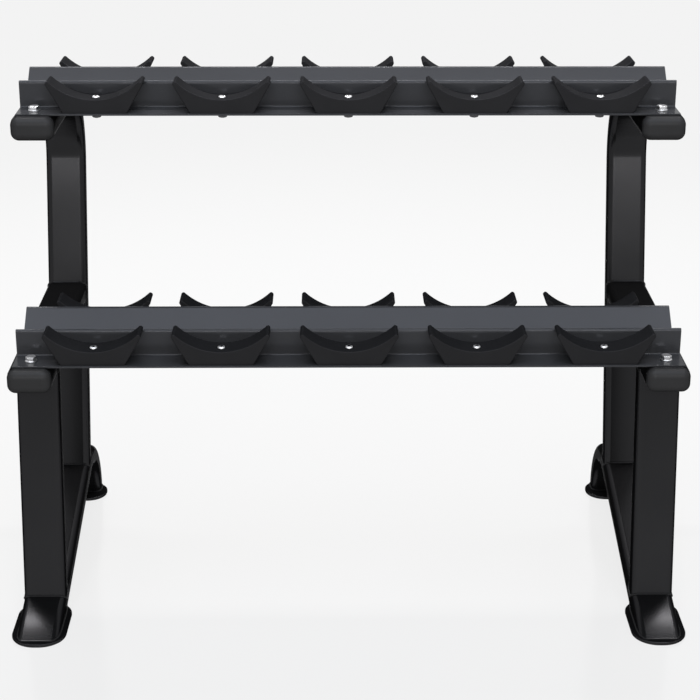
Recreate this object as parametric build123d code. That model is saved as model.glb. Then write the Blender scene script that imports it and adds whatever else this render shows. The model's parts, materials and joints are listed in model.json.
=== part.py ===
from build123d import *
import math
import os

# Two-tier saddle rack for dumbbells: two side frames of bent round-cornered tube carry two folded steel trays,
# and every tray carries a front and a rear row of moulded saddles.
# Millimetres and degrees, +X to the right, +Y to the back, +Z up.
# While it is built, Y is counted from the lower tray's front edge; every piece is moved to the part's
# own origin, the middle of the rack's width and depth on the floor, as it is written out.

# Round-cornered tube of the side frames
TUBE_WIDTH = 72.0
TUBE_DEPTH = 40.0
TUBE_CORNER = 12.0
TUBE_WALL = 3.0

# Side frame
FRAME_RAKE = 13.8
UPRIGHT_SETBACK = 475.0
UPRIGHT_BEND = 115.0
POST_LEAN = 8.75
POST_SETBACK = 89.0
HEEL_SETBACK = 50.0
NOSE_BEND = 580.0
NOSE_SWEEP = 22.0
NOSE_AHEAD_OF_POST = 8.0
REAR_LEG_SETBACK = 525.0
REAR_LEG_BEND = 106.0
ARM_OVERHANG = 2.0

# Tiers
LOWER_ARM_TOP = 463.0
TIER_RISE = 381.0
TIER_SETBACK = 180.0

# Folded trays
TRAY_LENGTH = 1110.0
TRAY_END_TO_FRAME = 28.0
SHEET = 3.0
FLANGE_DEPTH = 53.0
RIDGE_HEIGHT = 47.0
RIDGE_SPACING = 124.0
FOLD_RADIUS = 2.5
TROUGH_RADIUS = 6.0
TROUGH_LIFT = 1.0

# Moulded saddles
SADDLES_PER_ROW = 5
SADDLE_END_MARGIN = 132.0
SADDLE_WIDTH = 164.0
SADDLE_BASE_WIDTH = 106.0
SADDLE_SEAT = 23.0
HORN_HEIGHT = 50.0
HORN_TIP = 7.0
HORN_TIP_SLOPE = 50.0
HORN_ROUND = 3.0
SADDLE_SETBACK = 4.0
SADDLE_TO_WEB = 0.5
SADDLE_EDGE = 1.2
SADDLE_HEEL = 4.0

# Foot plates and their rubber soles
PLATE_THICKNESS = 4.0
FRONT_PLATE_WIDTH = 92.0
FRONT_PLATE_AHEAD_OF_TOE = 12.0
FRONT_PLATE_SHORT_OF_HEEL = 4.0
REAR_PLATE_WIDTH = 97.0
REAR_PLATE_AHEAD_OF_LEG = 31.0
REAR_PLATE_BEHIND_LEG = 4.0
PLATE_CORNER = 42.0
PLATE_EDGE = 1.0
SOLE_THICKNESS = 2.0
SOLE_INSET = 1.0

# Arm end caps
CAP_LENGTH = 18.0
CAP_CORNER = 14.0
CAP_ROUND = 13.5
CAP_PLUG = 14.0
CAP_CLEARANCE = 0.3

# Tray bolts, washers and the nuts welded inside the arms
BOLT_DIAMETER = 10.0
BOLT_HEAD_FLATS = 16.0
BOLT_HEAD_HEIGHT = 6.4
BOLT_LENGTH = 25.0
BOLT_HOLE_CLEARANCE = 1.0
BOLT_WASHER_DIAMETER = 20.0
BOLT_WASHER_THICKNESS = 2.0
WELD_NUT_FLATS = 17.0
WELD_NUT_HEIGHT = 8.0

# Saddle screws, washers and nuts
SCREW_DIAMETER = 8.0
SCREW_HEAD_DIAMETER = 14.0
SCREW_HEAD_HEIGHT = 4.4
SCREW_HEAD_ROUND = 3.4
SCREW_SOCKET_FLATS = 5.0
SCREW_SOCKET_DEPTH = 2.6
SCREW_HOLE_CLEARANCE = 1.0
SCREW_TAIL = 1.0
SEAT_RECESS = 2.0
SEAT_RECESS_CLEARANCE = 2.0
SCREW_WASHER_DIAMETER = 16.0
SCREW_WASHER_THICKNESS = 1.6
SCREW_NUT_FLATS = 13.0
SCREW_NUT_HEIGHT = 6.8
THREAD_CLEARANCE = 0.3

# How far a drill runs past the faces it goes through
DRILL_RUNOUT = 1.0

# Sizes that follow from the ones above
HALF_DEPTH = TUBE_DEPTH / 2
PLATE_TOP = SOLE_THICKNESS + PLATE_THICKNESS
FRAME_X = TRAY_LENGTH / 2 - TRAY_END_TO_FRAME
UPPER_ARM_TOP = LOWER_ARM_TOP + TIER_RISE
TRAY_DEPTH = 2 * FLANGE_DEPTH + RIDGE_SPACING
RAKE_SIN = math.sin(math.radians(FRAME_RAKE))
RAKE_COS = math.cos(math.radians(FRAME_RAKE))
RAKE_TAN = RAKE_SIN / RAKE_COS
LEAN_TAN = math.tan(math.radians(POST_LEAN))
LOWER_ARM_UNDERSIDE = LOWER_ARM_TOP - TUBE_DEPTH
LOWER_ARM_MID = LOWER_ARM_TOP - HALF_DEPTH
UPPER_ARM_MID = UPPER_ARM_TOP - HALF_DEPTH
SADDLE_DEPTH = FLANGE_DEPTH - SADDLE_SETBACK - SADDLE_TO_WEB
SADDLE_ROW = SADDLE_SETBACK + SADDLE_DEPTH / 2
SADDLE_PITCH = (TRAY_LENGTH - 2 * SADDLE_END_MARGIN) / (SADDLES_PER_ROW - 1)
TIERS = {"lower": (0.0, LOWER_ARM_TOP), "upper": (TIER_SETBACK, UPPER_ARM_TOP)}
SIDES = {"left": -FRAME_X, "right": FRAME_X}


def base_mid(y):
    """Height of the base tube's centre line on its straight run."""
    return PLATE_TOP + HALF_DEPTH / RAKE_COS + (y - HEEL_SETBACK) * RAKE_TAN


def upright_mid(z):
    """Y of the upright's centre line at a height, below its bend."""
    return UPRIGHT_SETBACK + (z - LOWER_ARM_MID) * RAKE_TAN


def post_mid(z):
    """Y of the front post's centre line at a height."""
    return POST_SETBACK + (z - LOWER_ARM_UNDERSIDE) * LEAN_TAN


def foot_on_base(line, lean):
    """Point where the centre line of a tube, given as Y at a height and its lean, meets the base's."""
    foot_y = line(base_mid(0)) / (1 - RAKE_TAN * lean)
    return foot_y, base_mid(foot_y)


def side_path(*edges):
    """Wire in the side plane from edges drawn as (y, z)."""
    return Plane.YZ * Wire(edges)


def tube_section(inset):
    """Outline of the tube, moved inwards by an inset."""
    return RectangleRounded(TUBE_WIDTH - 2 * inset, TUBE_DEPTH - 2 * inset, TUBE_CORNER - inset)


def tube(path):
    """Outer solid and bore of the round-cornered tube along a side-plane path."""
    section = Plane(origin=path @ 0, x_dir=(1, 0, 0), z_dir=path % 0)
    outer = sweep(section * tube_section(0), path)
    bore = sweep(section * tube_section(TUBE_WALL), path)
    return outer, bore


def base_tube():
    """Base: raked run, gentle nose down to the front plate, tight bend down to the rear plate."""
    post_y, post_z = foot_on_base(post_mid, LEAN_TAN)
    nose_y = post_y - HALF_DEPTH * (1 + RAKE_SIN) - NOSE_AHEAD_OF_POST
    nose = (nose_y, base_mid(nose_y))
    turn_y = REAR_LEG_SETBACK - REAR_LEG_BEND * (1 + RAKE_SIN)
    turn = (turn_y, base_mid(turn_y))
    nose_arc = JernArc(nose, (-RAKE_COS, -RAKE_SIN), NOSE_BEND, NOSE_SWEEP)
    run = Line(nose, turn)
    leg_arc = JernArc(turn, (RAKE_COS, RAKE_SIN), REAR_LEG_BEND, -90 - FRAME_RAKE)
    leg = Line(leg_arc @ 1, (REAR_LEG_SETBACK, -TUBE_DEPTH))
    front = tube(side_path(nose_arc))
    rear = tube(side_path(run, leg_arc, leg))
    outer = split(front[0] + rear[0], Plane.XY.offset(PLATE_TOP), keep=Keep.TOP)
    hollow = outer - front[1] - rear[1]
    nose_centre = (nose_y + NOSE_BEND * RAKE_SIN, nose[1] - NOSE_BEND * RAKE_COS)
    toe_reach = math.sqrt((NOSE_BEND + HALF_DEPTH) ** 2 - (PLATE_TOP - nose_centre[1]) ** 2)
    return outer, hollow, nose_centre[0] - toe_reach


def upright_tube():
    """Rear upright, raked back and bent forward at its top into the upper arm."""
    bend_z = UPPER_ARM_MID - UPRIGHT_BEND * (1 + RAKE_SIN)
    bend = (upright_mid(bend_z), bend_z)
    shaft = Line(foot_on_base(upright_mid, RAKE_TAN), bend)
    arc = JernArc(bend, (RAKE_SIN, RAKE_COS), UPRIGHT_BEND, 90 + FRAME_RAKE)
    arm = Line(arc @ 1, (TIER_SETBACK - ARM_OVERHANG, UPPER_ARM_MID))
    return tube(side_path(shaft, arc, arm))


def lower_arm_tube():
    """Lower arm, level, from its capped front end back into the upright."""
    return tube(side_path(Line((-ARM_OVERHANG, LOWER_ARM_MID), (UPRIGHT_SETBACK, LOWER_ARM_MID))))


def front_post_tube():
    """Front post, leaning back from the base up to the lower arm's underside."""
    head = (post_mid(LOWER_ARM_MID), LOWER_ARM_MID)
    return tube(side_path(Line(foot_on_base(post_mid, LEAN_TAN), head)))


def tray_bolt_rows(tier):
    """Y of a tier's front and rear tray bolts."""
    front = TIERS[tier][0]
    return front + FLANGE_DEPTH / 2, front + TRAY_DEPTH - FLANGE_DEPTH / 2


def drill(diameter, depth):
    """Cutter for a round hole down from Z 0, running past the faces at both of its ends."""
    return Pos(0, 0, -depth / 2) * Cylinder(diameter / 2, depth + 2 * DRILL_RUNOUT)


def arm_bolt_holes(tier):
    """Cutters for the tray bolts in the top wall of one arm."""
    hole = drill(BOLT_DIAMETER + BOLT_HOLE_CLEARANCE, TUBE_WALL)
    return [Pos(0, y, TIERS[tier][1]) * hole for y in tray_bolt_rows(tier)]


def tray():
    """One tray folded from sheet: flange, web, V trough, web and flange, over its arm's top at Z 0."""
    half = SHEET / 2
    fold = FOLD_RADIUS + half
    dip = TROUGH_RADIUS + half
    middle = TRAY_DEPTH / 2
    web_y = FLANGE_DEPTH + half
    ridge = (web_y + fold, RIDGE_HEIGHT - half - fold)
    trough = (middle, TROUGH_LIFT + half + dip)
    run = trough[0] - ridge[0]
    drop = ridge[1] - trough[1]
    slope = math.atan2(drop, run) + math.asin((fold + dip) / math.hypot(run, drop))
    ridge_point = ridge[1] + (fold + fold * math.sin(slope)) * math.tan(slope) + fold * math.cos(slope)
    trough_point = ridge_point - (middle - web_y) * math.tan(slope)
    front_half = [(0, half), (web_y, half), (web_y, ridge_point)]
    rear_half = [(TRAY_DEPTH - y, z) for y, z in reversed(front_half)]
    middle_line = FilletPolyline(
        *front_half, (middle, trough_point), *rear_half, radius=[fold, fold, dip, fold, fold]
    )
    upper_skin = offset(middle_line, half, side=Side.LEFT, closed=False)
    lower_skin = offset(middle_line, half, side=Side.RIGHT, closed=False)
    front_edge = Line((0, 0), (0, SHEET))
    rear_edge = Line((TRAY_DEPTH, 0), (TRAY_DEPTH, SHEET))
    section = make_face(upper_skin.edges() + lower_skin.edges() + [front_edge, rear_edge])
    sheet = extrude(Plane.YZ * section, TRAY_LENGTH / 2, both=True)
    screw_hole = drill(SCREW_DIAMETER + SCREW_HOLE_CLEARANCE, SHEET)
    bolt_hole = drill(BOLT_DIAMETER + BOLT_HOLE_CLEARANCE, SHEET)
    for y in (SADDLE_ROW, TRAY_DEPTH - SADDLE_ROW):
        sheet -= [Pos(x, y, SHEET) * screw_hole for x in saddle_places()]
    for y in (FLANGE_DEPTH / 2, TRAY_DEPTH - FLANGE_DEPTH / 2):
        sheet -= [Pos(x, y, SHEET) * bolt_hole for x in SIDES.values()]
    return sheet


def saddle_places():
    """X of the saddles in a row."""
    first = SADDLE_END_MARGIN - TRAY_LENGTH / 2
    return [first + SADDLE_PITCH * index for index in range(SADDLES_PER_ROW)]


def saddle():
    """Moulded saddle standing on Z 0 at the middle of its base, its web side at +Y."""
    tip_angle = math.radians(HORN_TIP_SLOPE)
    outer = (SADDLE_WIDTH / 2, HORN_HEIGHT)
    inner = (outer[0] - HORN_TIP * math.sin(tip_angle), outer[1] + HORN_TIP * math.cos(tip_angle))
    base = SADDLE_BASE_WIDTH / 2
    rim = Polyline((-inner[0], inner[1]), (-outer[0], outer[1]), (-base, 0), (base, 0), outer, inner)
    cradle = ThreePointArc((-inner[0], inner[1]), (0, SADDLE_SEAT), inner)
    profile = make_face(rim.edges() + cradle.edges())
    tips = profile.vertices().filter_by(lambda v: v.Y > HORN_HEIGHT / 2)
    profile = fillet(tips, HORN_ROUND)
    block = extrude(Plane.XZ * profile, SADDLE_DEPTH / 2, both=True)
    front = block.faces().sort_by(Axis.Y)[0]
    rear = block.faces().sort_by(Axis.Y)[-1]
    shown = [e for e in front.edges() + rear.edges() if e.center().Z > SADDLE_EDGE]
    block = chamfer(shown, SADDLE_EDGE)
    heel = block.edges().filter_by(Axis.X).sort_by(Axis.Z)[:2].sort_by(Axis.Y)[-1]
    block = chamfer(heel, SADDLE_HEEL)
    recess = extrude(Circle((SCREW_HEAD_DIAMETER + SEAT_RECESS_CLEARANCE) / 2), HORN_HEIGHT)
    hole = drill(SCREW_DIAMETER + SCREW_HOLE_CLEARANCE, SADDLE_SEAT)
    return block - Pos(0, 0, SADDLE_SEAT - SEAT_RECESS) * recess - Pos(0, 0, SADDLE_SEAT) * hole


def arm_cap():
    """Domed plastic cap with a plug, its shoulder on Y 0 and its dome towards -Y."""
    dome = extrude(Plane.XZ * RectangleRounded(TUBE_WIDTH, TUBE_DEPTH, CAP_CORNER), CAP_LENGTH)
    rim = dome.faces().sort_by(Axis.Y)[0].edges()
    dome = fillet(rim, min(CAP_ROUND, CAP_CORNER - CAP_CLEARANCE, CAP_LENGTH - CAP_CLEARANCE))
    plug = extrude(Plane.XZ * tube_section(TUBE_WALL + CAP_CLEARANCE), -CAP_PLUG)
    return dome + plug


def foot_outline(width, length, inset):
    """Rounded outline of a foot plate or its sole."""
    corner = min(PLATE_CORNER, width / 2 - PLATE_EDGE, length / 2 - PLATE_EDGE)
    return RectangleRounded(width - 2 * inset, length - 2 * inset, corner - inset)


def foot_plate(width, length):
    """Steel foot plate with an eased top edge, over its sole."""
    plate = extrude(Pos(0, 0, SOLE_THICKNESS) * foot_outline(width, length, 0), PLATE_THICKNESS)
    return fillet(plate.faces().sort_by(Axis.Z)[-1].edges(), PLATE_EDGE)


def foot_sole(width, length):
    """Rubber sole glued under a foot plate, standing on the floor."""
    return extrude(foot_outline(width, length, SOLE_INSET), SOLE_THICKNESS)


def ring(outer_diameter, inner_diameter, height):
    """Flat ring standing on Z 0."""
    section = Circle(outer_diameter / 2) - Circle(inner_diameter / 2)
    return extrude(section, height)


def hex_nut(flats, diameter, height):
    """Plain hexagon nut standing on Z 0."""
    section = RegularPolygon(flats / 2, 6, major_radius=False) - Circle((diameter + THREAD_CLEARANCE) / 2)
    return extrude(section, height)


def hex_bolt():
    """Hexagon bolt, the underside of its head on Z 0."""
    head = extrude(RegularPolygon(BOLT_HEAD_FLATS / 2, 6, major_radius=False), BOLT_HEAD_HEIGHT)
    shank = extrude(Circle(BOLT_DIAMETER / 2), -BOLT_LENGTH)
    return head + shank


def saddle_screw():
    """Button-headed socket screw, the underside of its head on Z 0, for saddle, tray, washer and nut."""
    head = extrude(Circle(SCREW_HEAD_DIAMETER / 2), SCREW_HEAD_HEIGHT)
    head = fillet(head.faces().sort_by(Axis.Z)[-1].edges(), SCREW_HEAD_ROUND)
    socket = extrude(RegularPolygon(SCREW_SOCKET_FLATS / 2, 6, major_radius=False), -SCREW_SOCKET_DEPTH)
    head -= Pos(0, 0, SCREW_HEAD_HEIGHT) * socket
    grip = SADDLE_SEAT - SEAT_RECESS + SHEET + SCREW_WASHER_THICKNESS + SCREW_NUT_HEIGHT
    shank = extrude(Circle(SCREW_DIAMETER / 2), -(grip + SCREW_TAIL))
    return head + shank


def copies(piece, places):
    """Separate copies of one piece, as a group of solids."""
    return Compound([Pos(*place) * piece for place in places])


def build():
    """Every named piece of the rack, with Y counted from the lower tray's front edge."""
    pieces = {}
    base_outer, base_hollow, toe_y = base_tube()
    upright_outer, upright_bore = upright_tube()
    arm_outer, arm_bore = lower_arm_tube()
    post_outer, post_bore = front_post_tube()
    upright = upright_outer - upright_bore - base_outer - arm_bolt_holes("upper")
    arm = arm_outer - arm_bore - upright_outer - arm_bolt_holes("lower")
    post = post_outer - post_bore - base_outer - arm_outer
    cap = arm_cap()

    rack_front = toe_y - FRONT_PLATE_AHEAD_OF_TOE
    rear_plate_start = REAR_LEG_SETBACK - HALF_DEPTH - REAR_PLATE_AHEAD_OF_LEG
    rear_plate_end = REAR_LEG_SETBACK + HALF_DEPTH + REAR_PLATE_BEHIND_LEG
    rack_back = max(rear_plate_end, upright_outer.bounding_box().max.Y)
    feet = {
        "front": (FRONT_PLATE_WIDTH, rack_front, HEEL_SETBACK - FRONT_PLATE_SHORT_OF_HEEL),
        "rear": (REAR_PLATE_WIDTH, rear_plate_start, rear_plate_end),
    }
    for side, x in SIDES.items():
        pieces[f"{side}_upright"] = Pos(x, 0, 0) * upright
        pieces[f"{side}_lower_arm"] = Pos(x, 0, 0) * arm
        pieces[f"{side}_front_post"] = Pos(x, 0, 0) * post
        pieces[f"{side}_base_tube"] = Pos(x, 0, 0) * base_hollow
        for end, (width, start, stop) in feet.items():
            place = Pos(x, (start + stop) / 2, 0)
            pieces[f"{side}_{end}_foot_plate"] = place * foot_plate(width, stop - start)
            pieces[f"{side}_{end}_foot_sole"] = place * foot_sole(width, stop - start)
        for tier, (front, top) in TIERS.items():
            pieces[f"{side}_{tier}_arm_cap"] = Pos(x, front - ARM_OVERHANG, top - HALF_DEPTH) * cap

    sheet = tray()
    seat = saddle()
    for tier, (front, top) in TIERS.items():
        pieces[f"{tier}_tray"] = Pos(0, front, top) * sheet
        rows = {"front": (front + SADDLE_ROW, 0), "rear": (front + TRAY_DEPTH - SADDLE_ROW, 180)}
        screws = []
        for row, (y, turn) in rows.items():
            for number, x in enumerate(saddle_places(), start=1):
                place = Pos(x, y, top + SHEET) * Rot(0, 0, turn)
                pieces[f"{tier}_{row}_saddle_{number}"] = place * seat
                screws.append((x, y))
        bolts = [(x, y) for x in SIDES.values() for y in tray_bolt_rows(tier)]

        head_z = top + SHEET + SADDLE_SEAT - SEAT_RECESS
        washer_z = top - SCREW_WASHER_THICKNESS
        nut_z = washer_z - SCREW_NUT_HEIGHT
        washer = ring(SCREW_WASHER_DIAMETER, SCREW_DIAMETER + THREAD_CLEARANCE, SCREW_WASHER_THICKNESS)
        nut = hex_nut(SCREW_NUT_FLATS, SCREW_DIAMETER, SCREW_NUT_HEIGHT)
        pieces[f"{tier}_saddle_screws"] = copies(saddle_screw(), [(x, y, head_z) for x, y in screws])
        pieces[f"{tier}_saddle_washers"] = copies(washer, [(x, y, washer_z) for x, y in screws])
        pieces[f"{tier}_saddle_nuts"] = copies(nut, [(x, y, nut_z) for x, y in screws])

        bolt_z = top + SHEET + BOLT_WASHER_THICKNESS
        weld_nut_z = top - TUBE_WALL - WELD_NUT_HEIGHT
        spacer = ring(BOLT_WASHER_DIAMETER, BOLT_DIAMETER + THREAD_CLEARANCE, BOLT_WASHER_THICKNESS)
        weld_nut = hex_nut(WELD_NUT_FLATS, BOLT_DIAMETER, WELD_NUT_HEIGHT)
        pieces[f"{tier}_tray_bolts"] = copies(hex_bolt(), [(x, y, bolt_z) for x, y in bolts])
        pieces[f"{tier}_tray_washers"] = copies(spacer, [(x, y, top + SHEET) for x, y in bolts])
        pieces[f"{tier}_weld_nuts"] = copies(weld_nut, [(x, y, weld_nut_z) for x, y in bolts])

    return pieces, (rack_front + rack_back) / 2


os.makedirs("parts", exist_ok=True)
rack, middle_y = build()
for name, piece in rack.items():
    export_step(Pos(0, -middle_y, 0) * piece, f"parts/{name}.step")
print(f"{len(rack)} nodes, middle of the rack's depth {middle_y:.2f} behind the lower tray's front edge")
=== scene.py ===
"""Looks of a two-tier saddle rack for dumbbells, built around its fixed construction, in metres."""

import json
import logging
import math
from dataclasses import dataclass
from enum import Enum
from itertools import product
from typing import Iterable, Sequence

import bmesh
import bpy
from bmesh.types import BMEdge, BMFace, BMVert
from mathutils import Matrix, Quaternion, Vector


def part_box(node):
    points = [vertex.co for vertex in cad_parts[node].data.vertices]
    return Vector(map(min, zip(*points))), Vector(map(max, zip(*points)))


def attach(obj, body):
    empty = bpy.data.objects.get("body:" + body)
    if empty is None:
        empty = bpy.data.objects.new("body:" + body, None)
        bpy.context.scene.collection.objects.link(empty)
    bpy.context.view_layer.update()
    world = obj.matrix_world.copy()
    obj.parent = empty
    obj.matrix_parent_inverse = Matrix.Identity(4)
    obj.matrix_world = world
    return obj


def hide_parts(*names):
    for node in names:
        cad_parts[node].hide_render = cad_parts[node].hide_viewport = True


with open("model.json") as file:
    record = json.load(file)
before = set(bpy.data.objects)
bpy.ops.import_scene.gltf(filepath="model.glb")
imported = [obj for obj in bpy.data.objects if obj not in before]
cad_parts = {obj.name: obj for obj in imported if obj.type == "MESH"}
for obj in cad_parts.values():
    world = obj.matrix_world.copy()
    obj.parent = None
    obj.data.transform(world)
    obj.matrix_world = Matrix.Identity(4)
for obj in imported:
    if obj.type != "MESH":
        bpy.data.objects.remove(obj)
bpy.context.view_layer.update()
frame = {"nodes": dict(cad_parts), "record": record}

LOG = logging.getLogger("rack")
BODY = "root"
SHARP_ANGLE = math.radians(32)
ARC_STEPS = 20
CORNER_STEPS = 8
HEX_STEPS = 48
DOME_STEPS = 8
RIM_STEPS = 2
EASE_STEPS = 3
BEAD_SIDES = 10
FLOOR_STEPS = 96
MIX_FIRST, MIX_SECOND, MIX_RESULT = 6, 7, 2
NOISE_MIDDLE = 0.5
WHITE = (1, 1, 1, 1)
SADDLE_NUMBERS = range(1, 6)
PLACE_DIGITS = 5
UP = Vector((0, 0, 1))
ACROSS = Vector((1, 0, 0))

Colour = tuple[float, float, float]


class Side(Enum):
    """The two side frames."""

    LEFT = "left"
    RIGHT = "right"


class Tier(Enum):
    """The two trays, one above the other."""

    LOWER = "lower"
    UPPER = "upper"


class Row(Enum):
    """The two rows of saddles on a tray."""

    FRONT = "front"
    REAR = "rear"


class Slot(Enum):
    """Material slots of the record."""

    FRAME = "frame_coat"
    TRAY = "tray_coat"
    SADDLE = "saddle_rubber"
    CAP = "cap_plastic"
    SOLE = "sole_rubber"
    ZINC = "zinc_plate"


class Wire:
    """An output socket that takes part in Python expressions on values."""

    def __init__(self, bench: "NodeBench", socket: bpy.types.NodeSocket) -> None:
        """Wrap an output socket of the bench's node tree."""
        self.bench = bench
        self.socket = socket

    def __add__(self, other: "Wire | float") -> "Wire":
        """Sum of two values."""
        return self.bench.maths("ADD", self, other)

    def __radd__(self, other: float) -> "Wire":
        """Sum with a number on the left."""
        return self.bench.maths("ADD", other, self)

    def __sub__(self, other: "Wire | float") -> "Wire":
        """Difference of two values."""
        return self.bench.maths("SUBTRACT", self, other)

    def __rsub__(self, other: float) -> "Wire":
        """Difference from a number on the left."""
        return self.bench.maths("SUBTRACT", other, self)

    def __mul__(self, other: "Wire | float") -> "Wire":
        """Product of two values."""
        return self.bench.maths("MULTIPLY", self, other)

    def __rmul__(self, other: float) -> "Wire":
        """Product with a number on the left."""
        return self.bench.maths("MULTIPLY", other, self)


class NodeBench:
    """A node tree under construction."""

    def __init__(self, tree: bpy.types.NodeTree) -> None:
        """Take the node tree of a material or of the world, and empty it."""
        self.tree = tree
        tree.nodes.clear()

    def node(
        self, kind: str, settings: dict[str, object] | None = None,
        inputs: dict[str | int, object] | None = None, output: str | int = 0,
    ) -> Wire:
        """Add any node.

        Args:
            kind: the node's type name.
            settings: properties set before the sockets, such as an operation.
            inputs: values or wires by socket name or number.
            output: name or number of the output that is wanted.

        Returns:
            The wanted output, or the node's first input where it has no output.
        """
        made = self.tree.nodes.new(kind)
        for name, value in (settings or {}).items():
            setattr(made, name, value)
        for key, value in (inputs or {}).items():
            if isinstance(value, Wire):
                self.tree.links.new(value.socket, made.inputs[key])
            else:
                made.inputs[key].default_value = value
        return Wire(self, made.outputs[output] if made.outputs else made.inputs[0])

    def maths(self, operation: str, *values: "Wire | float") -> Wire:
        """Result of a Math node's operation on some values."""
        return self.node("ShaderNodeMath", {"operation": operation}, dict(enumerate(values)))

    def blend(self, share: Wire, first: Colour, second: Colour) -> Wire:
        """Mix of two colours, the first at a share of 0 and the second at 1."""
        inputs = {0: share, MIX_FIRST: (*first, 1.0), MIX_SECOND: (*second, 1.0)}
        return self.node("ShaderNodeMix", {"data_type": "RGBA"}, inputs, output=MIX_RESULT)

    def noise(self, place: Wire, size: float, detail: float) -> Wire:
        """Cloudy noise from 0 to 1, with clouds of a size in metres and some finer layers."""
        inputs = {"Vector": place, "Scale": 1 / size, "Detail": detail}
        return self.node("ShaderNodeTexNoise", None, inputs, output="Fac")

    def bump(self, height: Wire, depth: float, strength: float, below: Wire | None) -> Wire:
        """Normal of a relief of a depth in metres, on top of the normal below where there is one."""
        inputs = {"Height": height, "Distance": depth, "Strength": strength}
        return self.node("ShaderNodeBump", None, inputs if below is None else {**inputs, "Normal": below})


@dataclass(frozen=True)
class Relief:
    """One layer of a surface's fine relief, which can also change its roughness."""

    size: float
    depth: float
    strength: float
    dulling: float = 0.0
    detail: float = 2.0
    pebbled: bool = False

    def height(self, bench: NodeBench, place: Wire) -> Wire:
        """Height of the layer.

        Args:
            bench: the material's nodes.
            place: coordinates on the piece, in metres.

        Returns:
            The height, about 0 to 1.
        """
        if not self.pebbled:
            return bench.noise(place, self.size, self.detail)
        cells = {"Vector": place, "Scale": 1 / self.size, "Randomness": 1.0}
        return bench.node("ShaderNodeTexVoronoi", {"feature": "SMOOTH_F1"}, cells, output="Distance")


@dataclass(frozen=True)
class Finish:
    """A surface finish with soft clouds of tone and gloss under a fine relief."""

    name: str
    dark: Colour
    pale: Colour
    roughness: float
    metal: float
    gloss: float = 0.0
    edge: Colour = (0.04, 0.04, 0.045)
    cloud: float = 0.16
    cloud_detail: float = 4.0
    gloss_drift: float = 0.08
    reliefs: tuple[Relief, ...] = ()

    def material(self) -> bpy.types.Material:
        """Find the finish's material, or make it on its first use.

        Returns:
            The material.
        """
        found = bpy.data.materials.get(self.name)
        if found is None:
            found = bpy.data.materials.new(self.name)
            found.use_nodes = True
            bench = NodeBench(found.node_tree)
            shader = bench.node("ShaderNodeBsdfPrincipled", None, self.surface(bench))
            bench.node("ShaderNodeOutputMaterial", None, {"Surface": shader})
        return found

    def surface(self, bench: NodeBench) -> dict[str | int, object]:
        """Inputs of the surface shader.

        Args:
            bench: the material's nodes.

        Returns:
            Values and wires by socket name.
        """
        place = bench.node("ShaderNodeTexCoord", output="Object")
        clouds = bench.noise(place, self.cloud, self.cloud_detail)
        roughness = self.roughness + (clouds - NOISE_MIDDLE) * self.gloss_drift
        normal = None
        for relief in self.reliefs:
            height = relief.height(bench, place)
            normal = bench.bump(height, relief.depth, relief.strength, normal)
            if relief.dulling:
                middle = 0.0 if relief.pebbled else NOISE_MIDDLE
                roughness = roughness + (height - middle) * relief.dulling
        return {
            "Base Color": bench.blend(clouds, self.dark, self.pale),
            "Roughness": roughness,
            "Normal": normal,
            "Metallic": self.metal,
            "Specular IOR Level": self.gloss,
            "Specular Tint": (*self.edge, 1.0),
        }


@dataclass(frozen=True)
class PowderCoat(Finish):
    """Satin powder coat with a fine metal flake: orange peel with a grain on it."""

    reliefs: tuple[Relief, ...] = (
        Relief(size=0.0016, depth=0.00002, strength=0.5),
        Relief(size=0.0003, depth=0.000003, strength=0.4, dulling=0.06, detail=1.0),
    )


@dataclass(frozen=True)
class MouldedBlack(Finish):
    """Moulded black rubber or plastic: a fine pebbled skin with worn-smooth clouds."""

    cloud: float = 0.05
    cloud_detail: float = 5.0
    gloss_drift: float = 0.14
    reliefs: tuple[Relief, ...] = (
        Relief(size=0.0009, depth=0.00005, strength=0.35, dulling=0.05, pebbled=True),
    )


@dataclass(frozen=True)
class ZincPlate(Finish):
    """Zinc plate on small steel fasteners: cloudy crystals and fine tool marks."""

    metal: float = 1.0
    gloss: float = 0.5
    edge: Colour = (1.0, 1.0, 1.0)
    cloud: float = 0.004
    cloud_detail: float = 3.0
    gloss_drift: float = 0.2
    reliefs: tuple[Relief, ...] = (Relief(size=0.0004, depth=0.00002, strength=0.3),)


FRAME_COAT = PowderCoat("frame_powder_coat", (0.024, 0.024, 0.0254), (0.031, 0.031, 0.0324), 0.21, 0.74, 0.0)
TRAY_COAT = PowderCoat("tray_powder_coat", (0.058, 0.059, 0.0635), (0.070, 0.0716, 0.077), 0.17, 0.24, 0.1)
BEAD_COAT = PowderCoat("weld_powder_coat", (0.026, 0.026, 0.0273), (0.033, 0.033, 0.0343), 0.24, 0.65, 0.1)
SADDLE_RUBBER = MouldedBlack("saddle_moulding", (0.025, 0.025, 0.0266), (0.033, 0.033, 0.035), 0.48, 0.34)
CAP_PLASTIC = MouldedBlack("cap_moulding", (0.042, 0.042, 0.0431), (0.051, 0.051, 0.0522), 0.40, 0.30)
SOLE_RUBBER = MouldedBlack("sole_sheet", (0.018, 0.018, 0.018), (0.025, 0.025, 0.025), 0.70, 0.10)
ZINC = ZincPlate("zinc_fasteners", (0.62, 0.63, 0.65), (0.82, 0.82, 0.83), 0.34)
# Zinc coloured dark as painted shade: the nuts and saddle washers under the trays take it for the shade they
# sit in below the flanges.
ZINC_WITH_PAINTED_SHADE = ZincPlate("zinc_nuts_painted_shade", (0.06, 0.06, 0.063), (0.10, 0.10, 0.104), 0.44)


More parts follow.
